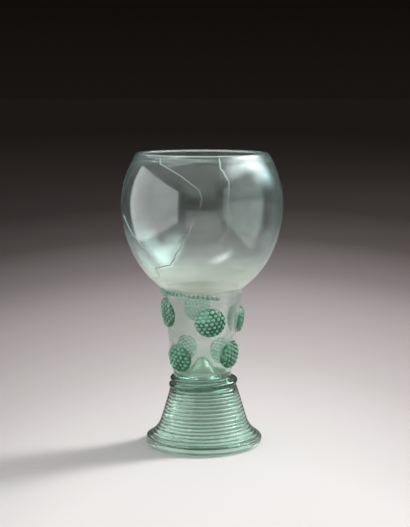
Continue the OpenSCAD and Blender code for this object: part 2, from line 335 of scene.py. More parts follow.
def bowl_section(s):
    """Closed section of the bowl and its weld marks, from the neck up the outside and down the inside."""
    base, flank, upper = bowl_arcs(s)
    inner_turn = math.degrees(math.asin((base[0][1] - s.neck_height) / (base[1] - s.bowl_wall)))
    swell = (s.lip - s.bowl_wall) / 2 * smooth_step(np.linspace(0, 1, 60), LIP_FROM, 1)
    out_up = arc(upper[0], upper[1] + swell, 0, upper[3])
    in_up = arc(upper[0], upper[1] - s.bowl_wall - swell, 0, upper[3])
    lip_centre = (s.mouth_radius, s.glass_height - s.lip / 2)
    lip = arc(lip_centre, s.lip / 2, upper[3], upper[3] + 180, step=0.16)
    outside = [arc(*base), arc(*flank)[1:], out_up[1:], lip[1:-1]]
    in_flank = arc(flank[0], flank[1] - s.bowl_wall, 0, flank[2])
    in_base = arc(base[0], base[1] - s.bowl_wall, base[3], -inner_turn)
    wall = np.vstack([*outside, in_up[::-1], in_flank[1:], in_base[1:]])
    neck = np.linspace(wall[-1], wall[0], 5)[1:-1]
    weld = np.r_[0.5, np.zeros(len(wall) - 2), 0.5, np.ones(len(neck))]
    return np.vstack([wall, neck]), weld


def blown_waver(azimuth, height, s):
    """How far hand-blown glass falls short of a true circle, in millimetres: slow lobes that die out between
    30 and 4 mm above the neck."""
    a = np.radians(azimuth)
    lobes = 0.5 + 0.22 * np.cos(2 * a + 0.6) + 0.16 * np.cos(3 * a + height / 19)
    lobes = lobes + 0.12 * np.sin(5 * a - height / 11)
    return -WAVER * lobes * smooth_step(height, s.neck_height + 4, s.neck_height + 30)


# Material helpers


def node(tree, kind, inputs=None, output=0, **settings):
    """Adds a shader node with its settings and gives one of its outputs, if it has any. inputs are values or
    sockets for its inputs."""
    made = tree.nodes.new("ShaderNode" + kind)
    for key, value in settings.items():
        setattr(made, key, value)
    for key, value in (inputs or {}).items():
        if isinstance(value, bpy.types.NodeSocket):
            tree.links.new(value, made.inputs[key])
        else:
            made.inputs[key].default_value = value
    return made.outputs[output] if made.outputs else None


def empty_tree(owner):
    """Node tree of a material, a lamp or a world, without nodes."""
    owner.use_nodes = True
    owner.node_tree.nodes.clear()
    return owner.node_tree


def new_material(name):
    """Node material and its empty tree."""
    material = bpy.data.materials.new(name)
    return material, empty_tree(material)


def maths(tree, operation, *values):
    """Result of one operation on values or sockets."""
    return node(tree, "Math", dict(enumerate(values)), operation=operation)


def noise(tree, place, scale, detail, **more):
    """Noise over a place in metres. A scale of 1000 has a pattern of about 1 mm."""
    inputs = {"Vector": place, "Scale": scale, "Detail": detail, **more}
    return node(tree, "TexNoise", inputs, "Fac")


def spread(tree, value, low, high, to_low=0.0, to_high=1.0, **settings):
    """A value mapped from one range to another."""
    inputs = {"Value": value, "From Min": low, "From Max": high, "To Min": to_low, "To Max": to_high}
    return node(tree, "MapRange", inputs, **settings)


def blend(tree, factor, first, second, way="MIX"):
    """Two colours blended."""
    inputs = {"Factor": factor, 6: first, 7: second}
    return node(tree, "Mix", inputs, 2, data_type="RGBA", blend_type=way)


def ramp(tree, factor, stops):
    """Colour by a factor, from stops of position and colour."""
    made = node(tree, "ValToRGB", {"Fac": factor})
    elements = made.node.color_ramp.elements
    for k, (position, shade) in enumerate(stops):
        # A new ramp has two stops
        stop = elements[k] if k < 2 else elements.new(position)
        stop.position = position
        stop.color = (*shade, 1)
    return made


# Share of light that goes through clean glass
CLARITY = 0.96
# The same by height in the bowl, where old wine left a milky residue
RESIDUE = [(95.5, 0.96), (98, 0.67), (105, 0.71), (112, 0.91), (118, 0.975), (150, 0.985)]
# Heights between which the stem's floor begins, going down, and the thin bowl, going up
FLOOR_FROM, FLOOR_TO = 60, 54
BOWL_FROM, BOWL_TO = 92, 100
# Red, green and blue light that lamps send through the stem and foot, and through the bowl
STEM_SHADOW, BOWL_SHADOW = (0.65, 0.59, 0.62, 1), (0.9, 0.9, 0.89, 1)


def forest_glass(name, tint, density, polish, haze, waver_mm, pressed=None, residue=False):
    """Potash forest glass, blown or trailed and fire polished: smooth, faintly streaky and uneven, greener
    where it is thicker because its colour comes from depth. Welded places are clear, so fused pieces read as
    one glass. A stamped piece has colours in pressed, from painted shade in the gaps between its beads to
    painted light on their tops. With residue the bottom of the bowl is milky and the stem's floor is greener."""
    material, tree = new_material(name)
    place = node(tree, "TexCoord", output="Object")
    height = node(tree, "SeparateXYZ", {0: place}, "Z")
    # Streaks of melt run round the glass, about 6 mm high and 25 mm long
    streak_place = node(tree, "Mapping", {"Vector": place, "Scale": (40, 40, 160)})
    streaks = noise(tree, streak_place, 1.0, 3.0, Distortion=0.6)
    skin = ramp(tree, streaks, [(0.35, linear("#F1F8F3")), (0.65, linear("#FFFFFF"))])
    if pressed:
        # Patches of about 4 mm shift the painted shade of the beads lighter or darker at random
        patch = maths(tree, "MULTIPLY_ADD", noise(tree, place, 250.0, 1.0), 1.8, -0.95)
        # Mask of painted light and shade: 0 in the gaps, painted darker, to 1 on the tops, painted lighter
        press = node(tree, "Attribute", output="Fac", attribute_name="press")
        stops = zip(np.linspace(0.12, 0.95, len(pressed)), pressed)
        # Painted shade in the gaps between beads and painted light on their tops
        painted_bead_shade = ramp(tree, maths(tree, "ADD", patch, press), stops)
        skin = blend(tree, 1.0, skin, painted_bead_shade, "MULTIPLY")
    # Dull film of age in patches of about 15 mm
    film = noise(tree, place, 66.0, 4.0, Roughness=0.6)
    dull = spread(tree, film, 0.35, 0.7, polish, haze)
    # Slow ripples of hand work, waver_mm long
    ripple = noise(tree, place, 1000 / waver_mm, 1.0)
    bump = node(tree, "Bump", {"Height": ripple, "Strength": 0.12, "Distance": 0.0006})
    clarity = CLARITY
    if residue:
        # Milky residue of old wine in the lowest 20 mm of the bowl, hardly any above and below
        clarity = ramp(tree, height, [(mm * MM, (share, share, share)) for mm, share in RESIDUE])
        # The floor of the stem and its kick are thick, so they look greener
        floor = spread(tree, height, FLOOR_FROM * MM, FLOOR_TO * MM)
        green = blend(tree, floor, (1, 1, 1, 1), (*linear("#F2FBF5"), 1))
        skin = blend(tree, 1.0, skin, green, "MULTIPLY")
        milk = maths(tree, "SUBTRACT", 1.0, clarity)
        skin = blend(tree, milk, skin, (*linear("#FFF0D2"), 1))
    weld = node(tree, "Attribute", output="Fac", attribute_name="weld")
    solid = maths(tree, "LESS_THAN", weld, 0.5)
    surface = {
        "Base Color": skin, "Roughness": dull, "IOR": 1.52, "Transmission Weight": clarity, "Alpha": solid,
        "Normal": bump, "Coat Weight": 0.7 if pressed else 0.0, "Coat Roughness": 0.08, "Coat IOR": 1.5,
    }
    glass = node(tree, "BsdfPrincipled", surface)
    # Lamps shine weakly through the stem and the foot and well through the thin bowl, so the shadow on the
    # floor is that of dull glass and the residue in the bowl is lit
    lamp_ray = node(tree, "LightPath", output="Is Shadow Ray")
    thin = spread(tree, height, BOWL_FROM * MM, BOWL_TO * MM)
    shine = blend(tree, thin, STEM_SHADOW, BOWL_SHADOW)
    clear = node(tree, "BsdfTransparent", {"Color": shine})
    mix = node(tree, "MixShader", {0: lamp_ray, 1: glass, 2: clear})
    depth = node(tree, "VolumeAbsorption", {"Color": (*tint, 1), "Density": density})
    node(tree, "OutputMaterial", {"Surface": mix, "Volume": depth})
    return material


# Surfaces: roughness where it is polished and where it is dull, and the length of its ripples
BLOWN, STAMPED, TRAILED = (0.03, 0.16, 14), (0.28, 0.34, 5), (0.03, 0.06, 6)


def glass_for(kind):
    """One of the kinds of glass, made once: its name, what it lets through, its density and its surface."""
    c = bpy.context.scene.roemer_colours
    # Painted shade and painted light of the beads, from gap to top
    beads = (c.pressed_gap_shade, c.pressed_side_shade, c.pressed_top_light)
    recipes = {
        # Thin blown bowl
        "bowl_glass": ("blown_forest_glass", c.bowl_glass, 70, *BLOWN, None, True),
        # Thicker blown stem
        "stem_glass": ("stem_forest_glass", c.stem_glass, 50, *BLOWN, None, True),
        # Prunts at the front and the sides, with painted shade between their beads and painted light on their
        # tops
        "applied_glass": ("pressed_forest_glass", c.applied_glass, 110, *STAMPED, beads),
        # Prunts at the back, which show through the stem: a lighter copy of the front prunts' glass, painted
        # paler as they are lit from behind, with painted shade in their gaps
        "rear_glass": ("rubbed_forest_glass", c.applied_glass, 60, *STAMPED, (c.rear_gap_shade, c.rear_top_light)),
        # Collar, with painted shade in its notches and painted light on its teeth
        "milled_glass": ("milled_forest_glass", c.applied_glass, 130, *STAMPED, (c.milled_notch_shade, c.milled_tooth_light)),
        # Thick turns of the foot, the deepest green
        "ring_glass": ("thick_trail_glass", c.foot_glass, 680, *TRAILED),
        # Fine turns of the foot
        "foot_glass": ("trailed_forest_glass", c.foot_glass, 195, *TRAILED),
        # Base rim
        "rim_glass": ("tooled_rim_glass", c.foot_glass, 60, *TRAILED),
    }
    name, *recipe = recipes[kind]
    return bpy.data.materials.get(name) or forest_glass(name, *recipe)


# Stem and what is laid on it


def stem_lean(s):
    """How far the stem's side leans out, in radians."""
    return math.atan2(s.neck_radius - s.stem_radius, s.neck_height - s.foot_height)


def by_stem(s, azimuth, height, up, out):
    """Points near the stem: at an azimuth and a height above the foot, moved up along the side and out from
    it."""
    lean = stem_lean(s)
    radius = s.stem_radius + height * math.tan(lean) + up * math.sin(lean) + out * math.cos(lean)
    return around(radius, azimuth, s.foot_height + height + up * math.cos(lean) - out * math.sin(lean))


# Painted light and shade: how much lighter the upper left of a prunt is painted, and how much darker its
# lower right
PAINTED_SIDE_SHADE = 0.36
# Prunts: name, node, azimuth, height above the foot, turn of the bead pattern, share of full size and share
# of full height
PRUNTS = [
    ("raspberry_upper_front", "upper_prunt_front", 12.5, 36.2, 8, 1.03, 1.0),
    ("raspberry_upper_left", "upper_prunt_left", -71, 40.2, 40, 1.05, 0.7),
    ("raspberry_upper_right", "upper_prunt_right", 102, 34.6, 21, 1.0, 1.0),
    ("raspberry_upper_back", "upper_prunt_back", 190, 38.4, 15, 0.97, 1.0),
    ("raspberry_lower_left", "lower_prunt_left", -48, 13.0, 52, 1.0, 1.0),
    ("raspberry_lower_right", "lower_prunt_right", 61, 14.7, 31, 1.0, 1.0),
    ("raspberry_lower_back_right", "lower_prunt_back_right", 138, 12.4, 5, 0.95, 1.0),
    ("raspberry_lower_back_left", "lower_prunt_back_left", 217, 14.2, 47, 0.94, 1.0),
]

# The collar's trail runs from its low front end round the left and the back: azimuths of its ends and of the
# place where it becomes level, how far its front end drops and its gap to the weld of bowl and stem
COLLAR_FROM, COLLAR_TO, COLLAR_LEVEL = 26, -250, -90
COLLAR_DROP, COLLAR_GAP = 2.4, 0.2
# Radius of a bead of full size, as a share of the beads' pitch
BEAD_RADIUS = 0.48
# Depth of a place that is under nothing
UNCOVERED = -9.0
# Slope of the kick's side, in degrees from upright
KICK_SLOPE = 37
# The stem's section ends this far from the axis, and a fan closes it
AXIS_GAP = 0.03


def collar_height(s, azimuth):
    """Height of the collar above the foot: level, then falling with the cube of the way to its front end."""
    level = s.neck_height - s.foot_height - COLLAR_GAP - s.collar_half_width
    fall = np.clip((azimuth - COLLAR_LEVEL) / (COLLAR_FROM - COLLAR_LEVEL), 0, None)
    return level - COLLAR_DROP * fall**3


def prunt_cover(s, azimuth, height):
    """How deep a place on the stem lies under a prunt, in millimetres; below 0 it is outside all of them."""
    radius = s.stem_radius + height * math.tan(stem_lean(s))
    deepest = np.full(np.broadcast(azimuth, height).shape, UNCOVERED)
    for _, _, middle, at, _, share, _ in PRUNTS:
        x = np.radians((azimuth - middle + 180) % 360 - 180) * radius / s.prunt_half_width
        y = (height - at) / math.cos(stem_lean(s)) / s.prunt_half_height
        deepest = np.maximum(deepest, (share - np.hypot(x, y)) * s.prunt_half_height)
    return deepest


def collar_cover(s, azimuth, height):
    """How deep a place on the stem lies under the collar, in millimetres, without its thin ends and edges."""
    deepest = np.full(np.broadcast(azimuth, height).shape, UNCOVERED)
    for turned in (azimuth, azimuth - 360):
        on = (turned > COLLAR_TO + 2) & (turned < COLLAR_FROM - 2)
        depth = 0.75 * s.collar_half_width - np.abs(height - collar_height(s, turned))
        deepest = np.where(on, np.maximum(deepest, depth), deepest)
    return deepest


def stem_section(s):
    """Stages of the stem's section from the axis inside to the axis below: over the kick and up the inside,
    across the neck, down the outside, across the weld with the foot and up under the kick."""
    floor = s.foot_height + s.floor
    slope = math.radians(KICK_SLOPE)
    tip = floor + s.kick - s.kick_tip
    flare = s.kick_tip * math.cos(slope) + (tip + s.kick_tip * math.sin(slope) - floor) * math.tan(slope)
    wall = s.stem_radius - s.stem_wall
    inner = neck_inner_radius(s)
    over = [[flare, floor], [wall - 0.3, floor], [inner, s.neck_height - WELD_GAP]]
    tip_top = arc((0, tip), s.kick_tip, 180 - KICK_SLOPE, KICK_SLOPE, step=0.3)
    inside = softened(np.vstack([tip_top, over]), 0.4, 4.5)
    inside = inside[np.argmax(inside[:, 0] > AXIS_GAP) :]
    across = np.linspace(inside[-1], [s.neck_radius, s.neck_height - WELD_GAP], 5)[1:]
    low = s.foot_height + WELD_GAP
    outside = evenly([[s.neck_radius, s.neck_height - WELD_GAP], [s.stem_radius, low]], 0.3)[1:]
    hollow = s.stem_radius - s.foot_wall / math.cos(foot_wall(s).cone)
    weld = np.linspace(outside[-1], [hollow, low], 4)[1:]
    hole = s.kick_tip - s.kick_wall
    mouth = hole * math.cos(slope) + (tip + hole * math.sin(slope) - low) * math.tan(slope)
    tip_under = arc((0, tip), hole, KICK_SLOPE, 180 - KICK_SLOPE, step=0.2)
    below = softened(np.vstack([[[hollow, low], [mouth, low]], tip_under]), 0.3, 3.0)[1:]
    below = below[: np.argmax(below[:, 0] < AXIS_GAP)]
    return [inside, across, outside, weld, below]


def prunt_dome(s, x, y, turn, share, rng):
    """Height of a raspberry prunt over its footprint, x round the stem and y up it, and its beads alone.

    A dome that falls off steeply at its edge carries round beads on a hexagonal grid, turned a little, with
    each bead pressed a little differently. Beads fade out at the very edge.
    """
    across = np.hypot(x / (s.prunt_half_width * share), y / (s.prunt_half_height * share))
    dome = s.prunt_height * np.clip(1 - across**2.4, 0, None) ** 0.6
    a = math.radians(turn)
    u, v = x * math.cos(a) + y * math.sin(a), y * math.cos(a) - x * math.sin(a)
    row_gap = s.bead_pitch * math.sqrt(3) / 2
    bead = np.zeros_like(x)
    rows = np.floor(v / row_gap)
    # Shares of full size, far more of them than a prunt has beads
    size = rng.uniform(0.88, 1.08, (64, 64))
    for row in (rows - 1, rows, rows + 1, rows + 2):
        shift = 0.5 * (row % 2)
        before = np.floor(u / s.bead_pitch - shift)
        for col in (before, before + 1):
            away = np.hypot(u - (col + shift) * s.bead_pitch, v - row * row_gap)
            big = size[(row.astype(int) % 64, col.astype(int) % 64)]
            round_top = np.clip(1 - (away / (BEAD_RADIUS * s.bead_pitch * big)) ** 2, 0, None) ** 0.6
            bead = np.maximum(bead, big * round_top)
    bead *= 1 - smooth_step(across, 0.93, 1.0)
    return dome + s.bead_height * bead, bead


def prunt_rings(s, azimuth, height, turn, share, lift, seed):
    """Rings of a prunt from the middle of its top to its edge and back under it, their weld marks and the
    mask of its painted light and shade: lighter on its beads, darker in their gaps and on its lower right."""
    rng = np.random.default_rng(seed)
    angle = np.linspace(0, 2 * np.pi, 300, endpoint=False)[None, :]
    top = np.linspace(0.012, 1, 72)[:, None]
    under = np.array([0.985, 0.9, 0.6, 0.3, 0.05])[:, None]
    across = np.vstack([top, under])
    x = s.prunt_half_width * share * across * np.cos(angle)
    y = s.prunt_half_height * share * across * np.sin(angle)
    out = np.full_like(x, WELD_GAP)
    press = np.ones_like(x)
    dome, beads = prunt_dome(s, x[: len(top)], y[: len(top)], turn, share, rng)
    out[: len(top)] += lift * dome
    # Painted shade and light: the lower right of a prunt is painted darker and its upper left lighter, as if
    # lit from the upper left
    press[: len(top)] = beads + PAINTED_SIDE_SHADE * top * (np.sin(angle) - np.cos(angle))
    radius = s.stem_radius + height * math.tan(stem_lean(s))
    rings = by_stem(s, azimuth + np.degrees(x / radius), height, y, out)
    weld = np.vstack([np.zeros((len(top) - 1, 1)), [[0.5]], np.ones((len(under), 1))])
    return rings, weld, press


def collar_rings(s):
    """Rings of the milled collar: a half-round trail along the stem, pinched at even steps and thin at its
    ends, with weld marks and its teeth, which mark where it is painted lighter and, in its notches, darker."""
    run = np.linspace(COLLAR_FROM, COLLAR_TO, 1000)
    way = np.radians(COLLAR_FROM - run) * s.neck_radius
    tooth = np.abs(np.sin(np.pi * way / s.collar_tooth)) ** 0.8
    ends = np.sqrt(smooth_step(np.minimum(way, way[-1] - way), -0.3, 2.0))
    half = s.collar_half_width * (0.7 + 0.3 * tooth) * ends
    high = s.collar_height * (0.3 + 0.7 * tooth) * ends
    over = np.radians(np.linspace(0, 180, 17))[None, :]
    base = np.linspace(-1, 1, 8)[None, 1:-1]
    up = np.hstack([half[:, None] * np.cos(over), half[:, None] * base])
    out = np.hstack([high[:, None] * np.sin(over) ** 0.8, np.zeros((len(run), base.size))]) + WELD_GAP
    weld = np.r_[0.5, np.zeros(over.size - 2), 0.5, np.ones(base.size)][None, :]
    return by_stem(s, run[:, None], collar_height(s, run)[:, None], up, out), weld, tooth[:, None]


# Foot


# The foot is one trail of glass, which winds down to the left. Its thick turns, from their thin start at the
# back: degrees along the trail, 0 at the front, way down the wall to its middle, half width and height
THICK_TRAIL = [
    (-540, 0.3, 0.6, 0.0), (-450, 0.75, 0.8, 0.7), (-360, 1.35, 1.15, 1.0), (-270, 2.0, 1.9, 1.7),
    (-180, 2.75, 2.1, 1.9), (-90, 3.5, 2.45, 3.1), (0, 5.0, 2.5, 2.2), (90, 6.4, 2.05, 1.7),
    (180, 7.3, 1.6, 1.4), (270, 8.05, 1.25, 1.0), (360, 8.6, 1.1, 0.75),
]
# Grooves between the fine turns at the front: way down the wall
GROOVES = [
    9.60, 11.53, 13.58, 15.75, 18.04, 20.51, 22.68, 25.26, 27.54, 29.59, 31.89, 34.01, 36.47, 38.94, 41.48,
    43.92,
]
# Height of the fine turns and how far each reaches over its grooves, way from the last groove to the middle
# of the last turn and half that turn's width
FINE_HEIGHT, FINE_OVERLAP = 0.85, 0.04
LAST_MIDDLE, LAST_HALF = 1.1, 1.15
# Degrees along the trail at the first fine turn
FINE_FROM = 720
# The thick turns begin on the stem, just above the weld, and end on the cone: ways down the wall, and the way
# over which the fine turns come out from under them
RING_TOP, RING_END, RING_FADE = -0.55, 10.3, 1.0
# Height up to which the foot stands to the right by its whole offset
OFFSET_HEIGHT = 30
# Steepest slope of the foot's flare and slope at the rim, radius of its hollow curve and of the turn down
FLARE_SLOPE, RIM_SLOPE = math.radians(62), math.radians(44)
FLARE_RADIUS, TURN_RADIUS = 19.0, 3.8


def trail_table():
    """The whole trail as rows of degrees along it, way, half width and height: the thick turns, then one row
    for each fine turn."""
    fine = [
        (FINE_FROM + 360 * k, (low + high) / 2, (high - low) / 2 + FINE_OVERLAP, FINE_HEIGHT)
        for k, (low, high) in enumerate(zip(GROOVES, GROOVES[1:]))
    ]
    last = (FINE_FROM + 360 * len(fine), GROOVES[-1] + LAST_MIDDLE, LAST_HALF, FINE_HEIGHT)
    return np.array(THICK_TRAIL + fine + [last])


def trail_height(azimuth, way):
    """Height of the trail off the foot's wall. Each turn is a rounded ridge and the higher of two neighbours
    counts, which leaves a sharp groove between them."""
    table = trail_table()
    highest = np.zeros(np.broadcast(azimuth, way).shape)
    # Turns from before the trail's start to past its end
    for turn in range(-2, 20):
        along = 360 * turn + 180 - (azimuth + 180) % 360
        middle, half, high = (np.interp(along, table[:, 0], table[:, k]) for k in (1, 2, 3))
        high = np.where(along < table[0, 0], 0, high)
        sway = 0.07 * np.sin(np.radians(along) * 2.3 + turn) + 0.05 * np.sin(np.radians(along) * 5.1)
        x = (way - middle - sway) / half
        highest = np.maximum(highest, high * np.clip(1 - x * x, 0, None) ** 0.6)
    return highest


def foot_wall(s):
    """The foot's wall as lines of way, radius, height and slope, from the stem's side above the weld to the
    rim: the stem's side, then a cone, a hollow curve and a curve that turns down, tangent to each other."""
    steep, end, hollow, turn = FLARE_SLOPE, RIM_SLOPE, FLARE_RADIUS, TURN_RADIUS
    rim_top = s.foot_radius - s.rim_round + math.sqrt(s.rim_round**2 - (s.rim_height - s.rim_round) ** 2)
    flare = np.array([rim_top, s.rim_height]) + hollow * np.array([math.cos(steep), math.sin(steep)])
    flare += turn * np.array([math.cos(steep) - math.cos(end), math.sin(steep) - math.sin(end)])
    start = np.array([s.stem_radius, s.foot_height])
    to = flare - start
    cone = math.atan2(to[1], to[0]) + math.acos(hollow / np.linalg.norm(to))
    flare_start = flare - hollow * np.array([math.cos(cone), math.sin(cone)])
    cone_length = np.linalg.norm(flare_start - start)
    flare_length = hollow * (steep - cone)
    total = cone_length + flare_length + turn * (steep - end)
    way = np.r_[np.linspace(-3, 0, 31)[:-1], np.linspace(0, total, 900)]
    lean = -stem_lean(s)
    on = [way < 0, way < cone_length, way < cone_length + flare_length]
    turned = steep - (way - cone_length - flare_length) / turn
    slope = np.select(on, [lean, cone, cone + (way - cone_length) / hollow], turned)
    turn_centre = flare - (hollow + turn) * np.array([math.cos(steep), math.sin(steep)])
    sine, cosine = np.sin(slope), np.cos(slope)
    straight, curved = start[0] + way * sine, flare[0] - hollow * cosine
    radius = np.select(on[1:], [straight, curved], turn_centre[0] + turn * cosine)
    straight, curved = start[1] - way * cosine, flare[1] - hollow * sine
    height = np.select(on[1:], [straight, curved], turn_centre[1] + turn * sine)
    return SimpleNamespace(way=way, radius=radius, height=height, slope=slope, end=total, cone=cone)


def on_wall(wall, way):
    """Radius, height and slope of the foot's wall at a way down it."""
    return (np.interp(way, wall.way, values) for values in (wall.radius, wall.height, wall.slope))


def by_foot(wall, azimuth, way, out):
    """Points near the foot's wall: at an azimuth and a way down the wall, moved out square to it."""
    radius, height, slope = on_wall(wall, way)
    return around(radius + out * np.cos(slope), azimuth, height + out * np.sin(slope))


def ring_rings(s):
    """Rings of the thick turns: down over their tops and back up along the wall, with weld marks."""
    wall = foot_wall(s)
    azimuth = full_turn(400)
    down = np.linspace(RING_TOP, RING_END, 120)[:, None]
    back = np.linspace(RING_END, RING_TOP, 16)[1:-1, None]
    top = trail_height(azimuth, down)
    under = trail_height(azimuth, back) * smooth_step(back, RING_END - RING_FADE, RING_END)
    top[1:-1] += 2 * WELD_GAP
    under += WELD_GAP
    rings = np.vstack([by_foot(wall, azimuth, down, top), by_foot(wall, azimuth, back, under)])
    weld = np.r_[0.5, np.zeros(len(down) - 2), 0.5, np.ones(len(back))][:, None]
    return rings, weld


def trail_rings(s):
    """Rings of the wound foot: down the ridged outside, across the rim's weld, up the smooth inside and
    across the stem's weld, with weld marks for those two and for the thick turns laid over its top."""
    wall = foot_wall(s)
    azimuth = full_turn(264)
    down = np.r_[np.linspace(0, RING_END, 40)[:-1], np.linspace(RING_END, wall.end, 276)][:, None]
    ridges = trail_height(azimuth, down) * smooth_step(down, RING_END - RING_FADE, RING_END)
    ridges *= 1 - smooth_step(down, wall.end - 1.2, wall.end)
    outside = by_foot(wall, azimuth, down, ridges)
    up = np.linspace(wall.end, 0, 44)[:, None]
    radius, height, slope = on_wall(wall, up)
    inside = around(radius - s.foot_wall / np.cos(slope) + 0 * azimuth, azimuth, height)
    low = np.linspace(outside[-1], inside[0], 4)[1:-1]
    high = np.linspace(inside[-1], outside[0], 4)[1:-1]
    cover = smooth_step(-down[:, 0], -RING_END - 0.08, -RING_END + 0.08)
    weld = np.r_[cover, np.ones(len(low)), 0.5, np.zeros(len(up) - 2), 0.5, np.ones(len(high))]
    weld[len(down) - 1] = 0.5
    return np.vstack([outside, low, inside, high]), weld[:, None]


def rim_rings(s):
    """Rings of the base rim: a hoop with a flat bottom, a round outer edge and eased inner edges."""
    wall = foot_wall(s)
    top = s.rim_height - WELD_GAP
    turn = math.degrees(math.asin(s.rim_height / s.rim_round - 1))
    hollow_top = np.interp(wall.end, wall.way, wall.radius) - s.foot_wall / math.cos(RIM_SLOPE)
    inner = s.foot_radius - s.rim_width
    outer = arc((s.foot_radius - s.rim_round, s.rim_round), s.rim_round, -90, turn, 0.15)
    outer[-1, 1] = top
    weld_line = np.linspace(outer[-1], [hollow_top, top], 5)[1:]
    back = softened([[hollow_top, top], [inner, top], [inner, 0], [outer[0, 0] - 0.5, 0]], 0.12, 0.9)[1:]
    section = np.vstack([outer, weld_line, back])
    marks = np.r_[np.zeros(len(outer) - 1), 0.5, np.ones(len(weld_line) - 1), 0.5, np.zeros(len(back))]
    azimuth = full_turn(320)
    return around(section[:, :1] + 0 * azimuth, azimuth, section[:, 1:]), marks[:, None]


# Old cracks in the bowl: width at the start and at the end, then azimuths and heights along it
CRACKS = [
    [
        0.12, 0.4, (-37.8, 179.0), (-35.1, 175.1), (-26.5, 172.5), (-14.0, 167.9), (-1.7, 160.5),
        (-0.1, 155.7), (-2.5, 149.7),
    ],
    [2.1, 0.6, (14.0, 179.0), (14.5, 172.1), (19.4, 165.1), (18.0, 156.3)],
    [0.2, 0.1, (18.0, 157.0), (17.6, 140.7), (15.9, 133.7), (10.7, 123.5)],
    [1.8, 1.5, (-75.8, 144.4), (-51.8, 126.0), (-48.0, 122.5)],
    [
        0.8, 1.0, (-5.8, 142.7), (-9.2, 136.2), (-13.8, 130.8), (-19.3, 124.1), (-26.6, 116.2),
        (-45.3, 113.1), (-45.2, 108.9), (-55.0, 103.5),
    ],
]
# Millimetres to a degree round the bowl, about; distance of a crack's points and how many make one jag
DEGREE, CRACK_STEP, JAG_POINTS = 0.8, 0.5, 4
# How far a crack jags to the sides, and how deep it reaches on both sides of the middle of the wall
JAG, CRACK_DEPTH = 0.22, 0.42


def crack_rings(s, wide, narrow, path, seed):
    """Rings of a crack: a flat sliver along a jagged path, leaning across the wall and thin at its ends."""
    rng = np.random.default_rng(seed)
    line = evenly([(a * DEGREE, z) for a, z in path], CRACK_STEP)
    azimuth, height = line[:, 0] / DEGREE, line[:, 1]
    number = np.arange(len(line))
    knots = np.arange(0, len(line) + JAG_POINTS, JAG_POINTS)
    jag = np.interp(number, knots, rng.normal(0, JAG, len(knots)))
    along = np.gradient(line, axis=0)
    along /= np.linalg.norm(along, axis=1)[:, None]
    ends = smooth_step(np.minimum(number, len(line) - 1 - number), -1.5, 6)
    gape = np.linspace(wide, narrow, len(line))[:, None] * ends[:, None]
    turn = np.radians(full_turn(10))
    side = (0.22 * np.cos(turn) + 0.16 * np.sin(turn)) * gape + jag[:, None]
    depth = s.bowl_wall / 2 + CRACK_DEPTH * np.sin(turn) * ends[:, None]
    depth = depth - blown_waver(azimuth, height, s)[:, None]
    z = height[:, None] + side * along[:, :1]
    radius = bowl_outer_radius(s, z.ravel()).reshape(z.shape)
    shift = np.degrees(-side * along[:, 1:] / radius)
    return around(radius - depth, azimuth[:, None] + shift, z)


def fracture(name, tint):
    """Broken faces inside the glass: rough, pale and half clear, with a grain of about 1 mm."""
    material, tree = new_material(name)
    place = node(tree, "TexCoord", output="Object")
    grain = noise(tree, place, 900.0, 2.0)
    shade = ramp(tree, grain, [(0, [0.55 * c for c in tint]), (1, tint)])
    body = node(tree, "BsdfPrincipled", {"Base Color": shade, "Roughness": 0.45, "Alpha": 0.8})
    node(tree, "OutputMaterial", {"Surface": body})
    return material


# Operators


class ROEMER_OT_bowl(bpy.types.Operator):
    """Blow the round bowl with its fire-polished lip"""

    bl_idname = "roemer.bowl"
    bl_label = "Bowl"

    def execute(self, context):
        s = in_millimetres(context.scene.roemer_sizes)
        section, weld = bowl_section(s)
        azimuth = full_turn(288)
        waver = blown_waver(azimuth, section[:, 1:], s)
        rings = around(section[:, :1] + waver, azimuth, section[:, 1:])
        piece = shell("blown_bowl", rings, weld[:, None], True)
        finish_piece(piece, glass_for("bowl_glass"), "bowl_glass", "bowl")
        return {"FINISHED"}


class ROEMER_OT_cracks(bpy.types.Operator):
    """Put the old cracks into the bowl's wall"""

    bl_idname = "roemer.cracks"
    bl_label = "Cracks"

    def execute(self, context):
        s = in_millimetres(context.scene.roemer_sizes)
        finish = fracture("fractured_forest_glass", context.scene.roemer_colours.crack)
        for number, (wide, narrow, *path) in enumerate(CRACKS, 1):
            piece = shell(f"crack_{number}", crack_rings(s, wide, narrow, path, number), 0, False)
            finish_piece(piece, finish, "bowl_glass")
        return {"FINISHED"}


class ROEMER_OT_stem(bpy.types.Operator):
    """Blow the hollow stem with its kick"""

    bl_idname = "roemer.stem"
    bl_label = "Stem"

    def execute(self, context):
        s = in_millimetres(context.scene.roemer_sizes)
        stages = stem_section(s)
        section = np.vstack(stages)
        azimuth = full_turn(220, -180)
        rings = around(section[:, :1] + 0 * azimuth, azimuth, section[:, 1:])
        inside, across, outside, foot = np.cumsum([len(stage) for stage in stages[:-1]])
        weld = np.zeros((len(section), azimuth.size))
        weld[inside - 1], weld[inside : across - 1], weld[across - 1] = 0.5, 1, 0.5
        height = section[across:outside, 1:] - s.foot_height
        cover = np.maximum(prunt_cover(s, azimuth, height), collar_cover(s, azimuth, height))
        cover = np.maximum(cover, -RING_TOP - height)
        # A weld's edge lies a little inside the piece laid over it, so that no gap shows
        weld[across:outside] = np.clip(0.5 + (cover - 0.15) / 0.8, 0, 1)
        weld[outside : foot - 1], weld[foot - 1] = 1, 0.5
        finish_piece(shell("hollow_stem", rings, weld, False), glass_for("stem_glass"), "bowl_glass", "stem")
        return {"FINISHED"}


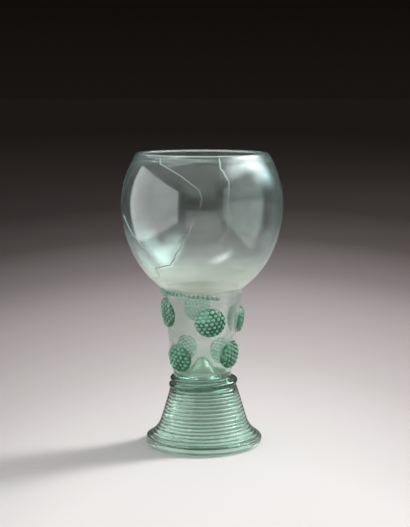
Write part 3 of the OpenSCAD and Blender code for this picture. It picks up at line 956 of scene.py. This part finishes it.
class ROEMER_OT_collar(bpy.types.Operator):
    """Lay the milled collar round the neck"""

    bl_idname = "roemer.collar"
    bl_label = "Milled collar"

    def execute(self, context):
        s = in_millimetres(context.scene.roemer_sizes)
        rings, weld, press = collar_rings(s)
        piece = shell("notched_collar", rings, weld, False, press)
        finish_piece(piece, glass_for("milled_glass"), "applied_glass", "milled_collar")
        return {"FINISHED"}


class ROEMER_OT_prunts(bpy.types.Operator):
    """Press the two rows of raspberry prunts on the stem"""

    bl_idname = "roemer.prunts"
    bl_label = "Raspberry prunts"

    def execute(self, context):
        s = in_millimetres(context.scene.roemer_sizes)
        for seed, (name, cad, *place) in enumerate(PRUNTS):
            rings, weld, press = prunt_rings(s, *place, seed)
            piece = shell(name, rings, weld, False, press)
            glass = glass_for("rear_glass" if "back" in name else "applied_glass")
            finish_piece(piece, glass, "applied_glass", cad)
        return {"FINISHED"}


class ROEMER_OT_foot(bpy.types.Operator):
    """Wind the foot: its thick turns, its fine turns and its base rim"""

    bl_idname = "roemer.foot"
    bl_label = "Wound foot"

    def execute(self, context):
        s = in_millimetres(context.scene.roemer_sizes)
        for name, (rings, weld), glass, cad in (
            ("thick_turns", ring_rings(s), "ring_glass", "foot_ring"),
            ("wound_foot", trail_rings(s), "foot_glass", "foot_trail"),
            ("standing_rim", rim_rings(s), "rim_glass", "base_rim"),
        ):
            rings[..., 0] += s.foot_offset * (1 - smooth_step(rings[..., 2], OFFSET_HEIGHT, s.foot_height))
            finish_piece(shell(name, rings, weld, True), glass_for(glass), "foot_glass", cad)
        return {"FINISHED"}


# Stage


# Painted pool of light on the paper, fading to painted dark in the distance: metres from its middle and share
# of the near colour
PAINTED_LIGHT_POOL = [
    (0, 1.0), (0.3, 1.0), (0.4, 0.985), (0.55, 0.815), (0.7, 0.61), (0.85, 0.48), (1.0, 0.38), (1.25, 0.19),
    (1.6, 0.066), (2.1, 0.026), (3.0, 0.017), (6.0, 0.006),
]
# The painted pool of light lies along the view, a third as wide as long, and its middle is 45 cm in front of
# the glass and 2 cm to the right
PAINTED_POOL_SHAPE, PAINTED_POOL_MIDDLE = (3, 1, 1), (0.05, -0.45, 0)
# The sheet's radius in metres and how far it lies under the glass, which keeps the two faces apart
SHEET_RADIUS, SHEET_DROP = 20, 0.0002
# The room: height of the view, share of the far floor's colour and share of the ceiling's brightness
ROOM = [(0.0, 0.6, 0.0), (0.06, 0.32, 0.0), (0.25, 0.3, 0.1), (0.45, 0.0, 0.5), (0.75, 0.0, 1.0)]
# The key lamp and what lamps are aimed at, in metres
KEY_PLACE, KEY_SIZE = (1.98, 1.06, 1.60), 0.95
AT_BOWL, AT_FOOT = (0, 0, 0.16), (0, 0, 0.05)
# Edge of a lamp whose face fades out from its middle
SOFT = 0.5
# Tints of lamps that look cooler than white
COOL, COOLER = linear("#F2FFFE"), linear("#B5EEF0")
# Pieces that some lamps light alone
LIT_ALONE = {"foot_pieces": ("wound_foot", "standing_rim"), "ring_pieces": ("thick_turns",)}
# Faces of lamps and white cards that only the glass mirrors: name, brightness, place, aim, width, height,
# edge and what else is special
MIRRORED = [
    ("key_face", "key_face", (1.05, 0.30, 0.87), AT_BOWL, 1.2, 1.2, SOFT, {"tint": COOL}),
    ("canopy_softbox", "canopy", (0.95, -0.17, 1.03), AT_BOWL, 2.2, 0.75, SOFT, {"tint": COOL}),
    ("strip_softbox", "strip", (-0.53, -0.31, 1.14), AT_BOWL, 0.95, 0.36, SOFT, {"roll": 55}),
    ("left_card", "left_card", (-0.29, -0.16, 0.155), (0, -0.16, 0.155), 0.58, 0.31, 0.03, {"bounced": True}),
    ("right_card", "right_card", (0.30, -0.23, 0.095), (0, -0.23, 0.095), 0.46, 0.185, 0.06, {}),
    ("right_glow", "right_glow", (1.0, 0.5, 0.5), AT_BOWL, 0.8, 0.5, SOFT, {"tint": COOLER}),
    ("front_card", "front_card", (0.015, -0.35, 0.062), (0.015, 0, 0.062), 0.33, 0.124, 0.04, {}),
    (
        "ring_glint", "glint", (0.65, 0.32, 0.4), AT_FOOT, 0.4, 0.4, SOFT,
        {"bounced": True, "alone": "ring_pieces"},
    ),
    *(
        (name, "low_cards", (x, 0.05, 0.05), (0, 0.05, 0.05), 0.4, 0.1, 0.2, {"alone": "foot_pieces"})
        for name, x in (("left_low_card", -0.16), ("right_low_card", 0.16))
    ),
]
# Camera fitted to the photo: place in metres, pitch down and turn in radians, focal length and height of the
# photo in pixels, and height of the sensor
CAMERA_PLACE, CAMERA_PITCH, CAMERA_TURN = (0, -0.8084, 0.2208), 0.1337, -0.0021
FOCAL_PIXELS, PHOTO_PIXELS, SENSOR = 1329.3, 527, 24


def studio_paper(name, near, middle, far):
    """Matt paper sweep with a painted pool of light round the glass, which fades to painted dark in the
    distance, and a faint fibre grain."""
    material, tree = new_material(name)
    place = node(tree, "TexCoord", output="Object")
    painted_pool = node(tree, "VectorMath", {0: place, 1: PAINTED_POOL_SHAPE}, operation="MULTIPLY")
    away = node(tree, "VectorMath", {0: painted_pool, 1: PAINTED_POOL_MIDDLE}, "Value", operation="DISTANCE")
    farthest = PAINTED_LIGHT_POOL[-1][0]
    stops = []
    for metres, share in PAINTED_LIGHT_POOL:
        shade = [f + share * (m + share * (n - m) - f) for n, m, f in zip(near, middle, far)]
        stops.append((metres / farthest, shade))
    shade = ramp(tree, spread(tree, away, 0.0, farthest), stops)
    # Fibres of less than 1 mm
    grain = noise(tree, place, 1500.0, 2.0)
    bump = node(tree, "Bump", {"Height": grain, "Strength": 0.05, "Distance": 0.0002})
    surface = {"Base Color": shade, "Roughness": 0.9, "Specular IOR Level": 0.0, "Normal": bump}
    body = node(tree, "BsdfPrincipled", surface)
    node(tree, "OutputMaterial", {"Surface": body})
    return material


def floor_sheet(material):
    """Round sheet of paper under the glass, rings of points from its middle out."""
    radius = np.r_[0.05, np.geomspace(0.2, SHEET_RADIUS, 40)][:, None]
    points = around(radius, full_turn(96), np.full((1, 1), -SHEET_DROP))
    count, each, _ = points.shape
    faces = [list(range(each))] + ring_faces(count, each, False)[:, ::-1].tolist()
    mesh = bpy.data.meshes.new("paper_floor")
    mesh.from_pydata(points.reshape(-1, 3).tolist(), [], faces)
    mesh.materials.append(material)
    sheet = bpy.data.objects.new("paper_floor", mesh)
    bpy.context.collection.objects.link(sheet)


def soft_lamp(
    name, place, aim, width, height, radiance, edge, roll=0, tint=(1, 1, 1), bounced=False, alone=None
):
    """Rectangular lamp at a place, turned to a point and rolled by degrees. Its face has a brightness that
    fades out towards its sides over edge, a share of its width and height. A bounced one is dark to rays that
    come straight through the glass and shows in its mirrored light only. alone names the collection of pieces
    that it lights, if it lights no others."""
    light = bpy.data.lights.new(name, "AREA")
    light.shape = "RECTANGLE"
    light.size, light.size_y = width, height
    # A face of brightness 1 takes 4 watts a square metre
    light.energy = 4 * radiance * width * height
    light.color = tint
    tree = empty_tree(light)
    face = node(tree, "NewGeometry", output="Parametric")
    fades = []
    for side in ("X", "Y"):
        inset = maths(tree, "PINGPONG", node(tree, "SeparateXYZ", {0: face}, side), 0.5)
        fades.append(spread(tree, inset, 0.0, edge, interpolation_type="SMOOTHSTEP"))
    level = maths(tree, "MULTIPLY", *fades)
    if bounced:
        mirrors = node(tree, "LightPath", output="Glossy Depth")
        level = maths(tree, "MULTIPLY", level, maths(tree, "MINIMUM", mirrors, 1.0))
    glow = node(tree, "Emission", {"Strength": level})
    node(tree, "OutputLight", {"Surface": glow})
    lamp = bpy.data.objects.new(name, light)
    lamp.location = place
    lamp.rotation_euler = (Vector(aim) - Vector(place)).to_track_quat("-Z", "Y").to_euler()
    lamp.rotation_euler.rotate_axis("Z", math.radians(roll))
    lamp.visible_camera = False
    if alone:
        lamp.light_linking.receiver_collection = bpy.data.collections[alone]
    bpy.context.collection.objects.link(lamp)
    return lamp


def dim_room(ceiling, far):
    """World: a room with a pale ceiling that darkens to the horizon, as the far floor does."""
    world = bpy.data.worlds.new("dim_room")
    tree = empty_tree(world)
    way = node(tree, "TexCoord", output="Generated")
    stops = [(up, [dusk * f + share * ceiling for f in far]) for up, dusk, share in ROOM]
    shade = ramp(tree, node(tree, "SeparateXYZ", {0: way}, "Z"), stops)
    glow = node(tree, "Background", {"Color": shade, "Strength": 1.0})
    node(tree, "OutputWorld", {"Surface": glow})
    bpy.context.scene.world = world


def photo_camera():
    """Camera at the place that the photo was taken from."""
    camera = bpy.data.cameras.new("photo_camera")
    camera.sensor_fit = "VERTICAL"
    camera.sensor_height = SENSOR
    camera.lens = SENSOR * FOCAL_PIXELS / PHOTO_PIXELS
    camera.clip_start = 0.01
    view = bpy.data.objects.new("photo_camera", camera)
    view.location = CAMERA_PLACE
    view.rotation_euler = (math.pi / 2 - CAMERA_PITCH, 0, CAMERA_TURN)
    bpy.context.scene.collection.objects.link(view)
    return view


class ROEMER_OT_stage(bpy.types.Operator):
    """Set the paper floor, the lamps, the room and the camera"""

    bl_idname = "roemer.stage"
    bl_label = "Stage"

    def execute(self, context):
        scene = context.scene
        colours, levels = scene.roemer_colours, scene.roemer_stage
        floor_sheet(studio_paper("studio_paper", colours.floor_near, colours.floor_middle, colours.floor_far))
        for group, pieces in LIT_ALONE.items():
            lit = bpy.data.collections.new(group)
            for piece in pieces:
                lit.objects.link(bpy.data.objects[piece])
        key = soft_lamp("key_softbox", KEY_PLACE, AT_FOOT, KEY_SIZE, KEY_SIZE, levels.key, SOFT)
        key.visible_glossy = key.visible_transmission = False
        for name, level, place, aim, width, height, edge, more in MIRRORED:
            face = soft_lamp(name, place, aim, width, height, getattr(levels, level), edge, **more)
            face.visible_diffuse = False
        dim_room(levels.ceiling, colours.floor_far)
        scene.camera = photo_camera()
        scene.view_settings.view_transform = "Standard"
        scene.cycles.max_bounces = 32
        scene.cycles.transmission_bounces = 32
        scene.cycles.glossy_bounces = 16
        scene.cycles.transparent_max_bounces = 64
        return {"FINISHED"}


class ROEMER_PT_panel(bpy.types.Panel):
    """Lists the steps that build the glass"""

    bl_idname = "ROEMER_PT_panel"
    bl_label = "Roemer"
    bl_space_type = "VIEW_3D"
    bl_region_type = "UI"
    bl_category = "Roemer"

    def draw(self, context):
        for step in STEPS:
            self.layout.operator(step.bl_idname)


STEPS = [
    ROEMER_OT_bowl,
    ROEMER_OT_cracks,
    ROEMER_OT_stem,
    ROEMER_OT_collar,
    ROEMER_OT_prunts,
    ROEMER_OT_foot,
    ROEMER_OT_stage,
]
GROUPS = {"roemer_sizes": RoemerSizes, "roemer_colours": RoemerColours, "roemer_stage": RoemerStage}
CLASSES = [*GROUPS.values(), *STEPS, ROEMER_PT_panel]


def register():
    """Adds the classes to Blender and their settings to its scenes."""
    for cls in CLASSES:
        bpy.utils.register_class(cls)
    for name, group in GROUPS.items():
        setattr(bpy.types.Scene, name, PointerProperty(type=group))


def unregister():
    """Takes away what register added."""
    for name in GROUPS:
        delattr(bpy.types.Scene, name)
    for cls in reversed(CLASSES):
        bpy.utils.unregister_class(cls)


def main():
    """Builds the glass and its stage."""
    register()
    bpy.ops.roemer.bowl()
    bpy.ops.roemer.cracks()
    bpy.ops.roemer.stem()
    bpy.ops.roemer.collar()
    bpy.ops.roemer.prunts()
    bpy.ops.roemer.foot()
    bpy.ops.roemer.stage()


if __name__ == "__main__":
    main()
